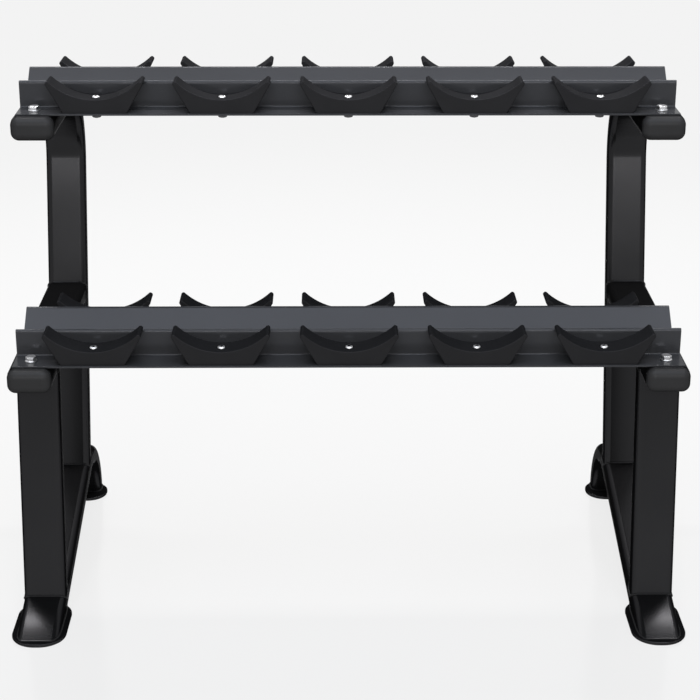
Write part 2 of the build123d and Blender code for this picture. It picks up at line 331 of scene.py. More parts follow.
@dataclass(frozen=True)
class Ring:
    """One ring of a turned or hexagonal part, about the Z axis."""

    radius: float
    height: float
    hexagonal: bool = False
    cone: float = 0.0

    def point(self, angle: float) -> Vector:
        """Point of the ring.

        Args:
            angle: direction from the axis, in radians.

        Returns:
            The point; a hexagon has its corners on X, and a cone takes its corners down.
        """
        reach = self.radius
        if self.hexagonal:
            reach /= math.cos(angle % (math.pi / 3) - math.pi / 6)
        drop = (reach - self.radius) * self.cone
        return Vector((reach * math.cos(angle), reach * math.sin(angle), self.height - drop))


class Workpiece:
    """A mesh on the bench, shaped step by step and then made an object."""

    def __init__(self) -> None:
        """Start with nothing on the bench."""
        self.bm = bmesh.new()

    def chain(self, points: Sequence[Vector | tuple[float, float, float]]) -> list[BMEdge]:
        """Join points by edges, in order."""
        verts = [self.bm.verts.new(point) for point in points]
        return [self.bm.edges.new(pair) for pair in zip(verts, verts[1:])]

    def turn(self, geom: list, centre: Vector, axis: Vector, angle: float, steps: int) -> list:
        """Draw an arc out of a point, or a bent wall out of edges.

        Args:
            geom: the point or the edges, in a list.
            centre: a point on the axis of the turn.
            axis: direction of that axis.
            angle: how far it turns, in radians.
            steps: number of facets.

        Returns:
            The point or the edges at the far end, in a list.
        """
        spun = bmesh.ops.spin(
            self.bm, geom=geom, cent=centre, axis=axis, angle=angle, steps=steps, use_duplicate=False
        )
        return [item for item in spun["geom_last"] if isinstance(item, type(geom[0]))]

    def rounded(self, width: float, depth: float, corner: float, place: Matrix) -> list[BMEdge]:
        """Draw a rectangular loop with round corners.

        Args:
            width: its size along the place's X.
            depth: its size along the place's Y.
            corner: radius of its corners.
            place: where the loop goes.

        Returns:
            The loop's edges.
        """
        before = set(self.bm.edges)
        firsts, lasts = [], []
        quadrants = ((1, -1), (1, 1), (-1, 1), (-1, -1))
        starts = ((0, -1), (1, 0), (0, 1), (-1, 0))
        for (right, back), (start_x, start_y) in zip(quadrants, starts):
            centre = Vector((right * (width / 2 - corner), back * (depth / 2 - corner), 0))
            firsts.append(self.bm.verts.new(centre + corner * Vector((start_x, start_y, 0))))
            lasts += self.turn(firsts[-1:], centre, UP, math.pi / 2, CORNER_STEPS)
        for last, first in zip(lasts, firsts[1:] + firsts[:1]):
            self.bm.edges.new((last, first))
        edges = [edge for edge in self.bm.edges if edge not in before]
        bmesh.ops.transform(self.bm, matrix=place, verts=self.corners(edges))
        return edges

    @staticmethod
    def corners(edges: Iterable[BMEdge]) -> list[BMVert]:
        """Points of some edges, each once and in a steady order."""
        return list(dict.fromkeys(vert for edge in edges for vert in edge.verts))

    @staticmethod
    def loop(verts: Iterable[BMVert]) -> list[BMEdge]:
        """Edges of some points, each once and in a steady order."""
        return list(dict.fromkeys(edge for vert in verts for edge in vert.link_edges))

    def bridge(self, loops: list[list[BMEdge]], closed: bool) -> None:
        """Skin a row of loops, and from the last one to the first where it is closed."""
        for loop, following in zip(loops, loops[1:] + loops[:1] * closed):
            bmesh.ops.bridge_loops(self.bm, edges=loop + following)

    def pull(self, geom: list, move: Vector) -> list:
        """Draw a wall out of edges, or a block out of flat faces.

        Args:
            geom: the edges or the faces.
            move: how far and which way.

        Returns:
            The edges or the faces at the far end.
        """
        if isinstance(geom[0], BMEdge):
            drawn = bmesh.ops.extrude_edge_only(self.bm, edges=geom)["geom"]
        else:
            drawn = bmesh.ops.extrude_face_region(self.bm, geom=geom, use_keep_orig=True)["geom"]
        bmesh.ops.translate(self.bm, vec=move, verts=[item for item in drawn if isinstance(item, BMVert)])
        return [item for item in drawn if isinstance(item, type(geom[0]))]

    def fill(self, edges: list[BMEdge]) -> list[BMFace]:
        """Close one loop of edges with a face."""
        return bmesh.ops.edgeloop_fill(self.bm, edges=edges)["faces"]

    def ease(self, geom: list, width: float, segments: int, affect: str = "EDGES") -> None:
        """Round edges or corners.

        Args:
            geom: the edges or points.
            width: how far from the edge the rounding starts.
            segments: number of facets.
            affect: EDGES or VERTICES.
        """
        bmesh.ops.bevel(
            self.bm, geom=geom, offset=width, offset_type="OFFSET", segments=segments, profile=0.5,
            affect=affect, material=-1, clamp_overlap=True,
        )

    def mesh(self, name: str) -> bpy.types.Mesh:
        """Make the finished mesh and clear the bench.

        Args:
            name: the mesh's name.

        Returns:
            The mesh, smooth but for its sharp edges.
        """
        bmesh.ops.recalc_face_normals(self.bm, faces=self.bm.faces)
        made = bpy.data.meshes.new(name)
        self.bm.to_mesh(made)
        self.bm.free()
        made.shade_smooth()
        made.set_sharp_from_angle(angle=SHARP_ANGLE)
        return made


def turned(name: str, rings: Sequence[Ring], hollow: bool = False) -> bpy.types.Mesh:
    """Skin a stack of rings about the Z axis.

    Args:
        name: the mesh's name.
        rings: the rings, in order along the skin.
        hollow: whether the last ring joins the first one, or else both are closed by a face.

    Returns:
        The part's mesh.
    """
    work = Workpiece()
    loops = []
    for ring in rings:
        made = bmesh.ops.create_circle(work.bm, segments=HEX_STEPS, radius=1.0)["verts"]
        for vert in made:
            vert.co = ring.point(math.atan2(vert.co.y, vert.co.x))
        loops.append(work.loop(made))
    work.bridge(loops, closed=hollow)
    if not hollow:
        work.fill(loops[0])
        work.fill(loops[-1])
    return work.mesh(name)


def show(mesh: bpy.types.Mesh, finish: Finish, nodes: Sequence[str] = ()) -> None:
    """Make a mesh a piece of the rack.

    Args:
        mesh: the piece's mesh, already in its place; the piece takes its name.
        finish: the surface finish.
        nodes: names of the construction's nodes that the piece stands for.
    """
    mesh.materials.clear()
    mesh.materials.append(finish.material())
    piece = bpy.data.objects.new(mesh.name, mesh)
    bpy.context.scene.collection.objects.link(piece)
    shading = piece.modifiers.new("even_shading", "WEIGHTED_NORMAL")
    shading.keep_sharp = True
    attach(piece, BODY)
    if nodes:
        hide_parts(*nodes)
    LOG.info("%s: %d faces", piece.name, len(mesh.polygons))


def gather(name: str, part: bpy.types.Mesh, places: Sequence[Matrix]) -> bpy.types.Mesh:
    """Make one mesh of copies of a part.

    Args:
        name: the new mesh's name.
        part: the mesh that repeats.
        places: where each copy goes.

    Returns:
        The joined mesh.
    """
    work = Workpiece()
    for place in places:
        known = len(work.bm.verts)
        work.bm.from_mesh(part)
        work.bm.verts.ensure_lookup_table()
        bmesh.ops.transform(work.bm, matrix=place, verts=work.bm.verts[known:])
    return work.mesh(name)


def cut(mesh: bpy.types.Mesh, tool: bpy.types.Mesh) -> bpy.types.Mesh:
    """Cut one closed mesh out of another.

    Args:
        mesh: the mesh that is cut.
        tool: the mesh whose space is taken away.

    Returns:
        What is left, as a new mesh.
    """
    blank, cutter = (bpy.data.objects.new(each.name, each) for each in (mesh, tool))
    for item in (blank, cutter):
        bpy.context.scene.collection.objects.link(item)
    boolean = blank.modifiers.new("cut", "BOOLEAN")
    boolean.operation = "DIFFERENCE"
    boolean.object = cutter
    left = bpy.data.meshes.new_from_object(blank.evaluated_get(bpy.context.evaluated_depsgraph_get()))
    for item in (blank, cutter):
        bpy.data.objects.remove(item)
    return left


def walk(edges: Sequence[BMEdge]) -> list[Vector]:
    """Places of a closed loop's points, in order, from its leftmost point the same way round each time.

    Args:
        edges: the loop's edges, in any order.

    Returns:
        The points, the last one joined to the first.
    """
    inside = set(edges)
    ranks = {vert: [round(value, PLACE_DIGITS) for value in vert.co] for vert in Workpiece.corners(edges)}
    vert = min(ranks, key=ranks.get)
    starts = [link for link in vert.link_edges if link in inside]
    edge = min(starts, key=lambda link: ranks[link.other_vert(vert)])
    points = []
    for _ in edges:
        points.append(vert.co.copy())
        vert = edge.other_vert(vert)
        edge = next(link for link in vert.link_edges if link in inside and link is not edge)
    return points


def evenly(points: Sequence[Vector], spacing: float) -> list[Vector]:
    """Points at even steps along a closed path.

    Args:
        points: the path's corners.
        spacing: the wanted distance between points.

    Returns:
        The new points.
    """
    ends = list(points[1:]) + [points[0]]
    lengths = [(end - start).length for start, end in zip(points, ends)]
    count = round(sum(lengths) / spacing)
    step = sum(lengths) / count
    found: list[Vector] = []
    done = 0.0
    for start, end, length in zip(points, ends, lengths):
        while len(found) < count and len(found) * step < done + length:
            found.append(start.lerp(end, (len(found) * step - done) / length))
        done += length
    return found


def side_heading(angle: float) -> Vector:
    """Direction in the side plane, at an angle up from straight back."""
    return Vector((0, math.cos(angle), math.sin(angle)))


def quarter_turn(heading: Vector) -> Vector:
    """Direction a quarter turn up from a heading in the side plane."""
    return Vector((0, -heading.z, heading.y))


@dataclass(frozen=True)
class Line:
    """A tube's straight centre line in the side plane."""

    point: Vector
    heading: Vector

    @property
    def left(self) -> Vector:
        """Direction a quarter turn up from the heading."""
        return quarter_turn(self.heading)

    def meet(self, other: "Line") -> Vector:
        """Point where this line crosses another."""
        across = other.left
        return self.point + self.heading * ((other.point - self.point).dot(across) / self.heading.dot(across))


@dataclass
class SideFrame:
    """One welded side frame of round-cornered tube, with its foot plates, soles and end caps."""

    side: Side
    tube_width: float = 0.072
    tube_depth: float = 0.040
    tube_corner: float = 0.012
    rake: float = math.radians(13.8)
    post_lean: float = math.radians(8.75)
    post_setback: float = 0.089
    upright_bend: float = 0.115
    rear_bend: float = 0.106
    nose_bend: float = 0.580
    nose_sweep: float = math.radians(22)
    nose_ahead: float = 0.008
    bead_radius: float = 0.0022
    bead_ripple: float = 0.06
    bead_pitch: float = 0.0028
    bead_spacing: float = 0.0014
    rim_ease: float = 0.0006
    cap_corner: float = 0.014
    cap_round: float = 0.0135
    cap_steps: int = 12
    plate_corner: float = 0.042
    plate_ease: float = 0.0010

    def __post_init__(self) -> None:
        """Read the frame's places from the construction."""
        low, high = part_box(self.node("lower_arm"))
        self.x = (low.x + high.x) / 2
        self.half = self.tube_depth / 2
        self.plate_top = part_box(self.node("front_foot_plate"))[1].z
        self.arm = Line(Vector((self.x, high.y, (low.z + high.z) / 2)), side_heading(0))
        self.arm_front = low.y
        self.upright = Line(self.arm.point, side_heading(math.pi / 2 - self.rake))
        tray_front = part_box("lower_tray")[0].y
        post_head = Vector((self.x, tray_front + self.post_setback, low.z))
        self.post = Line(post_head, side_heading(math.pi / 2 - self.post_lean))
        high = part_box(self.node("base_tube"))[1]
        outer = self.rear_bend + self.half
        self.rear_centre = Vector((self.x, high.y - outer, high.z - outer))
        run = side_heading(self.rake)
        self.base = Line(self.rear_centre + self.rear_bend * quarter_turn(run), run)

    def node(self, name: str) -> str:
        """Full name of one of this side's nodes."""
        return f"{self.side.value}_{name}"

    def station(self, point: Vector, heading: Vector) -> Matrix:
        """Place of the tube's section.

        Args:
            point: a point on the centre line.
            heading: direction of the centre line there.

        Returns:
            The place, with X across the frame and Z along the tube.
        """
        place = Matrix((ACROSS, heading.cross(ACROSS), heading)).transposed().to_4x4()
        place.translation = point
        return place

    def start(self, work: Workpiece, point: Vector, heading: Vector) -> list[BMEdge]:
        """Draw the tube's section where it starts, square to its heading."""
        place = self.station(point, heading)
        return work.rounded(self.tube_width, self.tube_depth, self.tube_corner, place)

    def cope(self, work: Workpiece, edges: list[BMEdge], tube: Line, onto: Line, away: float) -> list[Vector]:
        """Cut a tube's end to fit another tube of the same section.

        Args:
            work: the mesh on the bench.
            edges: the end's loop.
            tube: centre line of the tube that is cut.
            onto: centre line of the tube that it meets.
            away: 1 if the tube runs from the joint along its heading, or else -1.

        Returns:
            The joint's points, in order.
        """
        joint = tube.meet(onto)
        along = tube.heading * away
        facing = onto.left if onto.left.dot(along) > 0 else -onto.left
        for vert in work.corners(edges):
            offset = vert.co - joint
            depth = offset.dot(tube.left)
            height = max(abs(depth), self.half - self.tube_corner)
            reach = (height - depth * tube.left.dot(facing)) / along.dot(facing)
            vert.co += along * (reach - offset.dot(along))
        points = walk(edges)
        work.fill(edges)
        return points

    def weld(self, name: str, points: Sequence[Vector]) -> None:
        """Lay a closed, rippled weld bead round a joint.

        Args:
            name: the bead's name, without the side.
            points: the joint's points, in order.
        """
        path = evenly(points, self.bead_spacing)
        count = len(path)
        ripples = round(count * (path[1] - path[0]).length / self.bead_pitch)
        work = Workpiece()
        loops = []
        for index, point in enumerate(path):
            heading = path[(index + 1) % count] - path[index - 1]
            radius = self.bead_radius * (1 + self.bead_ripple * math.cos(math.tau * ripples * index / count))
            place = Matrix.Translation(point) @ heading.to_track_quat("Z", "Y").to_matrix().to_4x4()
            ring = bmesh.ops.create_circle(work.bm, segments=BEAD_SIDES, radius=radius, matrix=place)
            loops.append(work.loop(ring["verts"]))
        work.bridge(loops, closed=True)
        show(work.mesh(self.node(name)), BEAD_COAT)

    def show_tube(self, work: Workpiece, name: str) -> None:
        """Dress a finished tube and let it stand for its node."""
        show(work.mesh(self.node(f"{name}_skin")), FRAME_COAT, [self.node(name)])

    def build_upright(self) -> None:
        """Make the raked upright that bends forward into the upper arm."""
        low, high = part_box(self.node("upright"))
        outer = self.upright_bend + self.half
        centre = Vector((self.x, high.y - outer, high.z - outer))
        foot = self.upright.meet(self.base)
        bend_start = centre - self.upright_bend * self.upright.left
        work = Workpiece()
        bottom = self.start(work, foot, self.upright.heading)
        shaft = work.pull(bottom, bend_start - foot)
        bent = work.turn(shaft, centre, ACROSS, math.pi / 2 + self.rake, 2 * ARC_STEPS)
        front = work.pull(bent, Vector((0, low.y - centre.y, 0)))
        joint = self.cope(work, bottom, self.upright, self.base, 1)
        self.close_front(work, front)
        self.show_tube(work, "upright")
        self.weld("upright_weld", joint)

    def close_front(self, work: Workpiece, edges: list[BMEdge]) -> None:
        """Close an arm's front end and ease its rim."""
        face = work.fill(edges)[0]
        work.ease(list(face.edges), self.rim_ease, RIM_STEPS)

    def build_arm(self) -> None:
        """Make the level lower arm."""
        work = Workpiece()
        front = self.start(work, Vector((self.x, self.arm_front, self.arm.point.z)), self.arm.heading)
        rear = work.pull(front, Vector((0, self.arm.point.y - self.arm_front, 0)))
        joint = self.cope(work, rear, self.arm, self.upright, -1)
        self.close_front(work, front)
        self.show_tube(work, "lower_arm")
        self.weld("lower_arm_weld", joint)

    def build_post(self) -> None:
        """Make the leaning front post."""
        foot = self.post.meet(self.base)
        head = self.post.meet(self.arm)
        work = Workpiece()
        bottom = self.start(work, foot, self.post.heading)
        top = work.pull(bottom, head - foot)
        foot_joint = self.cope(work, bottom, self.post, self.base, 1)
        head_joint = self.cope(work, top, self.post, self.arm, -1)
        self.show_tube(work, "front_post")
        self.weld("front_post_weld", foot_joint)
        self.weld("front_post_top_weld", head_joint)

    def build_base(self) -> None:
        """Make the base tube, cut flat on its two foot plates."""
        foot = self.post.meet(self.base)
        ahead = self.half * (1 + math.sin(self.rake)) + self.nose_ahead
        nose = foot - self.base.heading * (ahead / math.cos(self.rake))
        nose_centre = nose - self.nose_bend * self.base.left
        toe_heading = side_heading(self.rake + self.nose_sweep)
        toe = nose_centre + self.nose_bend * quarter_turn(toe_heading)
        work = Workpiece()
        loop = self.start(work, toe, toe_heading)
        loop = work.turn(loop, nose_centre, ACROSS, -self.nose_sweep, ARC_STEPS)
        loop = work.pull(loop, self.base.point - nose)
        loop = work.turn(loop, self.rear_centre, ACROSS, -math.pi / 2 - self.rake, 2 * ARC_STEPS)
        work.pull(loop, Vector((0, 0, -self.rear_centre.z)))
        everything = list(work.bm.verts) + list(work.bm.edges) + list(work.bm.faces)
        level = (0, 0, self.plate_top)
        bmesh.ops.bisect_plane(work.bm, geom=everything, plane_co=level, plane_no=UP, clear_inner=True)
        rims = [edge for edge in work.bm.edges if edge.is_boundary]
        middle = (toe.y + self.rear_centre.y) / 2
        for end in Row:
            rim = [edge for edge in rims if (edge.verts[0].co.y < middle) == (end is Row.FRONT)]
            self.weld(f"{end.value}_foot_weld", walk(rim))
            work.fill(rim)
        self.show_tube(work, "base_tube")

    def build_cap(self, tier: Tier) -> None:
        """Make the domed cap at an arm's front end.

        Args:
            tier: the arm's tier.
        """
        name = self.node(f"{tier.value}_arm_cap")
        low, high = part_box(name)
        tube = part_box(self.node("lower_arm" if tier is Tier.LOWER else "upright"))[0]
        shoulder = Vector((self.x, tube.y, (low.z + high.z) / 2))
        work = Workpiece()
        place = self.station(shoulder, Vector((0, -1, 0)))
        rim = work.rounded(self.tube_width, self.tube_depth, self.cap_corner, place)
        nose = work.pull(rim, Vector((0, low.y - tube.y, 0)))
        dome = work.fill(nose)[0]
        back = work.fill(rim)[0]
        work.ease(list(dome.edges), self.cap_round, self.cap_steps)
        work.ease(list(back.edges), self.rim_ease, RIM_STEPS)
        show(work.mesh(f"{name}_dome"), CAP_PLASTIC, [name])

    def build_foot(self, end: Row) -> None:
        """Make a foot plate and the sole under it.

        Args:
            end: the front or the rear foot.
        """
        for part, finish, slot in (
            ("foot_plate", FRAME_COAT, Slot.FRAME),
            ("foot_sole", SOLE_RUBBER, Slot.SOLE),
        ):
            name = self.node(f"{end.value}_{part}")
            low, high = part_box(name)
            size = high - low
            corner = min(self.plate_corner, min(size.x, size.y) / 2 - self.plate_ease)
            work = Workpiece()
            bmesh.ops.create_grid(work.bm, x_segments=1, y_segments=1, size=0.5)
            bmesh.ops.scale(work.bm, vec=(size.x, size.y, 1), verts=work.bm.verts)
            bmesh.ops.translate(work.bm, vec=(self.x, (low.y + high.y) / 2, low.z), verts=work.bm.verts)
            work.ease(list(work.bm.verts), corner, ARC_STEPS, "VERTICES")
            top = work.pull(list(work.bm.faces), Vector((0, 0, size.z)))
            work.ease(list(top[0].edges), self.plate_ease, EASE_STEPS)
            show(work.mesh(f"{name}_body"), finish, [name])

    def build(self) -> None:
        """Make the whole side frame."""
        self.build_upright()
        self.build_arm()
        self.build_post()
        self.build_base()
        for tier in Tier:
            self.build_cap(tier)
        for end in Row:
            self.build_foot(end)


@dataclass
class Tray:
    """One tray folded from steel sheet: flange, web, trough, web and flange."""

    tier: Tier
    sheet: float = 0.003
    flange_depth: float = 0.053
    fold_radius: float = 0.0025
    trough_radius: float = 0.006
    trough_lift: float = 0.001
    rim_ease: float = 0.0005
    rim_angle: float = math.radians(80)
    fold_segments: int = 8

    @property
    def node(self) -> str:
        """Name of the tray's node."""
        return f"{self.tier.value}_tray"

    def slope(self, middle: float, height: float) -> tuple[float, float, float]:
        """Steepness of the trough's sides, and where their upper faces start and end.

        Args:
            middle: half of the tray's depth.
            height: the ridges' height.

        Returns:
            The angle, the height where the side would meet the web, and the height at the trough.
        """
        half = self.sheet / 2
        fold = self.fold_radius + half
        dip = self.trough_radius + half
        run = middle - (self.flange_depth + half + fold)
        drop = (height - half - fold) - (self.trough_lift + half + dip)
        angle = math.atan2(drop, run) + math.asin((fold + dip) / math.hypot(run, drop))
        outer = fold + half
        ridge_height = height - outer
        meeting = ridge_height + outer * math.cos(angle) + outer * (1 + math.sin(angle)) * math.tan(angle)
        return angle, meeting, meeting - (middle - self.flange_depth) * math.tan(angle)

    def build(self) -> None:
        """Fold the tray and dress it."""
        low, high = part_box(self.node)
        depth = high.y - low.y
        angle, meeting, bottom = self.slope(depth / 2, high.z - low.z)
        front = [(0, self.sheet), (self.flange_depth, self.sheet), (self.flange_depth, meeting)]
        rear = [(depth - y, z) for y, z in reversed(front)]
        outline = front + [(depth / 2, bottom)] + rear
        work = Workpiece()
        skin = work.chain([(low.x, low.y + y, low.z + z) for y, z in outline])
        work.pull(skin, Vector((high.x - low.x, 0, 0)))
        outer = self.fold_radius + self.sheet
        folds = (
            (1, self.fold_radius, math.pi / 2),
            (2, outer, math.pi / 2 + angle),
            (3, self.trough_radius, 2 * angle),
            (4, outer, math.pi / 2 + angle),
            (5, self.fold_radius, math.pi / 2),
        )
        creases = {}
        for index, _, _ in folds:
            y, z = outline[index]
            corner = Vector((low.x, low.y + y, low.z + z))
            creases[index] = min(
                (edge for edge in work.bm.edges if abs((edge.verts[0].co - edge.verts[1].co).x) > self.sheet),
                key=lambda edge: min((vert.co - corner).length for vert in edge.verts),
            )
        for index, radius, turn in folds:
            work.ease([creases[index]], radius * math.tan(turn / 2), self.fold_segments)
        bmesh.ops.recalc_face_normals(work.bm, faces=work.bm.faces)
        if sum(face.normal.z * face.calc_area() for face in work.bm.faces) < 0:
            bmesh.ops.reverse_faces(work.bm, faces=work.bm.faces)
        bmesh.ops.solidify(work.bm, geom=list(work.bm.faces), thickness=self.sheet)
        rims = [edge for edge in work.bm.edges if edge.calc_face_angle(0.0) > self.rim_angle]
        work.ease(rims, self.rim_ease, RIM_STEPS)
        show(work.mesh(f"{self.node}_sheet"), TRAY_COAT, [self.node])


@dataclass
class Saddle:
    """The moulded saddle that repeats along both rows of a tray."""

    width: float = 0.164
    base_width: float = 0.106
    seat: float = 0.023
    horn_height: float = 0.050
    horn_tip: float = 0.007
    tip_slope: float = math.radians(50)
    horn_round: float = 0.003
    horn_steps: int = 5
    touch: float = 0.0003
    edge: float = 0.0014
    cradle_steps: int = 36
    recess_radius: float = 0.008
    recess_depth: float = 0.002

    def block(self, depth: float) -> bpy.types.Mesh:
        """Mould one saddle, standing on Z 0 at the middle of its base.

        Args:
            depth: the saddle's depth, front to back.

        Returns:
            Its mesh.
        """
        outer = Vector((self.width / 2, 0, self.horn_height))
        tip = outer + self.horn_tip * Vector((-math.sin(self.tip_slope), 0, math.cos(self.tip_slope)))
        rise = tip.z - self.seat
        radius = (tip.x ** 2 + rise ** 2) / (2 * rise)
        centre = Vector((0, 0, self.seat + radius))
        sweep = 2 * math.asin(tip.x / radius)
        work = Workpiece()
        mirrored = Vector((-1, 1, 1))
        foot = Vector((self.base_width / 2, 0, 0))
        rim = work.chain([tip, outer, foot, foot * mirrored, outer * mirrored, tip * mirrored])
        last = work.turn([rim[-1].verts[1]], centre, Vector((0, -1, 0)), sweep, self.cradle_steps)
        bmesh.ops.weld_verts(work.bm, targetmap={last[0]: rim[0].verts[0]})
        work.fill(list(work.bm.edges))
        spots = (tip, outer, tip * mirrored, outer * mirrored)
        horn_corners = [
            vert for vert in work.bm.verts if min((vert.co - spot).length for spot in spots) < self.touch
        ]
        work.ease(horn_corners, self.horn_round, self.horn_steps, "VERTICES")
        bmesh.ops.translate(work.bm, vec=(0, -depth / 2, 0), verts=work.bm.verts)
        faces = list(work.bm.faces)
        back = work.pull(faces, Vector((0, depth, 0)))
        shown = [
            edge for face in faces + back for edge in face.edges
            if max(vert.co.z for vert in edge.verts) > self.edge
        ]
        work.ease(shown, self.edge, EASE_STEPS)
        blank = work.mesh("saddle_block")
        heights = (self.seat - self.recess_depth, self.horn_height)
        recess = turned("saddle_recess", [Ring(self.recess_radius, height) for height in heights])
        return gather("saddle", cut(blank, recess), [Matrix()])

    def build(self) -> None:
        """Mould the saddles and stand one on each of their places."""
        low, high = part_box("lower_front_saddle_1")
        block = self.block(high.y - low.y)
        for tier, row, number in product(Tier, Row, SADDLE_NUMBERS):
            name = f"{tier.value}_{row.value}_saddle_{number}"
            low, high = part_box(name)
            middle = (low + high) / 2
            mesh = block.copy()
            mesh.name = f"{name}_block"
            turn = Matrix.Rotation(math.pi if row is Row.REAR else 0, 4, "Z")
            mesh.transform(Matrix.Translation((middle.x, middle.y, low.z)) @ turn)
            show(mesh, SADDLE_RUBBER, [name])


@dataclass
class Fasteners:
    """The screws, bolts, washers and nuts of one tray, each made once and set in place."""

    tier: Tier
    screw_radius: float = 0.004
    screw_head_radius: float = 0.007
    screw_head_height: float = 0.0044
    screw_crown: float = 0.76
    socket_reach: float = 0.0025
    socket_depth: float = 0.0026
    screw_washer_radius: float = 0.008
    nut_reach: float = 0.0065
    bolt_radius: float = 0.005
    bolt_head_reach: float = 0.008
    bolt_head_height: float = 0.0064
    bolt_washer_radius: float = 0.010
    clearance: float = 0.00015
    ease: float = 0.0003
    hex_cone: float = math.tan(math.radians(30))
    hex_crown: float = 0.94
    hex_dish: float = 0.9

    def node(self, name: str) -> str:
        """Full name of one of this tier's nodes."""
        return f"{self.tier.value}_{name}"

    def screw(self, length: float) -> bpy.types.Mesh:
        """Make a button-headed socket screw.

        Args:
            length: from the underside of its head to its tail.

        Returns:
            Its mesh, the underside of the head on Z 0.
        """
        radius, height = self.screw_head_radius, self.screw_head_height
        crown = height * self.screw_crown
        turns = [math.pi / 2 * step / DOME_STEPS for step in range(DOME_STEPS + 1)]
        middle = Vector((radius - crown, height - crown))
        return turned("screw", [
            Ring(self.screw_radius - 2 * self.ease, -length),
            Ring(self.screw_radius, -length + 2 * self.ease),
            Ring(self.screw_radius, 0),
            Ring(radius - self.ease, 0),
            *(Ring(middle.x + crown * math.cos(turn), middle.y + crown * math.sin(turn)) for turn in turns),
            Ring(self.socket_reach + self.ease / 2, height, True),
            Ring(self.socket_reach, height - self.ease / 2, True),
            Ring(self.socket_reach, height - self.socket_depth, True),
        ])

    def bolt(self, length: float) -> bpy.types.Mesh:
        """Make a hexagon bolt with a chamfered head.

        Args:
            length: from the underside of its head to its tail.

        Returns:
            Its mesh, the underside of the head on Z 0.
        """
        reach, height = self.bolt_head_reach, self.bolt_head_height
        crown = reach * self.hex_crown
        return turned("bolt", [
            Ring(self.bolt_radius, -length),
            Ring(self.bolt_radius, 0),
            Ring(reach, 0, True),
            Ring(reach, height - (reach - crown) * self.hex_cone, True, self.hex_cone),
            Ring(crown, height),
            Ring(crown * self.hex_dish, height - self.ease / 2),
        ])

    def washer(self, radius: float, bore: float, thickness: float) -> bpy.types.Mesh:
        """Make a flat washer with eased rims.

        Args:
            radius: its outer radius.
            bore: radius of its hole.
            thickness: its thickness.

        Returns:
            Its mesh, standing on Z 0.
        """
        return turned("washer", [
            Ring(bore, 0),
            Ring(radius - self.ease, 0),
            Ring(radius, self.ease),
            Ring(radius, thickness - self.ease),
            Ring(radius - self.ease, thickness),
            Ring(bore + self.ease, thickness),
            Ring(bore, thickness - self.ease),
        ], hollow=True)

    def nut(self, height: float) -> bpy.types.Mesh:
        """Make a hexagon nut, chamfered at both ends.

        Args:
            height: its height.

        Returns:
            Its mesh, standing on Z 0.
        """
        reach = self.nut_reach
        crown = reach * self.hex_crown
        drop = (reach - crown) * self.hex_cone
        bore = self.screw_radius + self.clearance
        return turned("nut", [
            Ring(bore, self.ease),
            Ring(bore + self.ease, 0),
            Ring(crown, 0),
            Ring(reach, drop, True, -self.hex_cone),
            Ring(reach, height - drop, True, self.hex_cone),
            Ring(crown, height),
            Ring(bore, height),
        ], hollow=True)

    def place(
        self, node: str, part: bpy.types.Mesh, spots: Sequence[Vector], height: float, finish: Finish = ZINC
    ) -> None:
        """Set copies of a part on their spots and let them stand for their node.

        Args:
            node: the group's name, without the tier.
            part: the part's mesh.
            spots: where the copies go, seen from above.
            height: height of the part's Z 0.
            finish: the surface finish.
        """
        name = self.node(node)
        places = [Matrix.Translation((spot.x, spot.y, height)) for spot in spots]
        show(gather(f"{name}_set", part, places), finish, [name])

    def saddle_spots(self) -> list[Vector]:
        """Middles of the tier's saddles, where their screws go."""
        names = [f"{row.value}_saddle_{number}" for row in Row for number in SADDLE_NUMBERS]
        return [sum(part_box(self.node(name)), Vector()) / 2 for name in names]

    def bolt_spots(self) -> list[Vector]:
        """Places of the tray's bolts, over the middles of the side frames and of the flanges.

        Returns:
            The places, seen from above.
        """
        low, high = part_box(self.node("tray"))
        frames = [sum(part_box(f"{side.value}_lower_arm"), Vector()) / 2 for side in Side]
        rows = (low.y + Tray.flange_depth / 2, high.y - Tray.flange_depth / 2)
        return [Vector((middle.x, y, 0)) for middle in frames for y in rows]

    def build(self) -> None:
        """Make every fastener of the tier."""
        screws, bolts = self.saddle_spots(), self.bolt_spots()
        low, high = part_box(self.node("saddle_screws"))
        seat = high.z - self.screw_head_height
        self.place("saddle_screws", self.screw(seat - low.z), screws, seat)
        low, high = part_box(self.node("tray_bolts"))
        seat = high.z - self.bolt_head_height
        self.place("tray_bolts", self.bolt(seat - low.z), bolts, seat)
        # The nuts and the saddle washers under the tray take the darkened zinc, a painted shade.
        low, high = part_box(self.node("saddle_nuts"))
        self.place("saddle_nuts", self.nut(high.z - low.z), screws, low.z, ZINC_WITH_PAINTED_SHADE)
        for node, radius, bore, spots, finish in (
            ("saddle_washers", self.screw_washer_radius, self.screw_radius, screws, ZINC_WITH_PAINTED_SHADE),
            ("tray_washers", self.bolt_washer_radius, self.bolt_radius, bolts, ZINC),
        ):
            low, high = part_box(self.node(node))
            self.place(node, self.washer(radius, bore + self.clearance, high.z - low.z), spots, low.z, finish)


@dataclass(frozen=True)
class Lamp:
    """A soft rectangular lamp, with its power in watts."""

    name: str
    place: tuple[float, float, float]
    aim: tuple[float, float, float]
    size: tuple[float, float]
    power: float
    colour: Colour

    def hang(self) -> None:
        """Hang the lamp in its place, facing its aim."""
        light = bpy.data.lights.new(self.name, "AREA")
        light.shape = "RECTANGLE"
        light.size, light.size_y = self.size
        light.energy = self.power
        light.color = self.colour
        lamp = bpy.data.objects.new(self.name, light)
        lamp.location = self.place
        lamp.rotation_euler = (Vector(self.aim) - Vector(self.place)).to_track_quat("-Z", "Y").to_euler()
        bpy.context.scene.collection.objects.link(lamp)


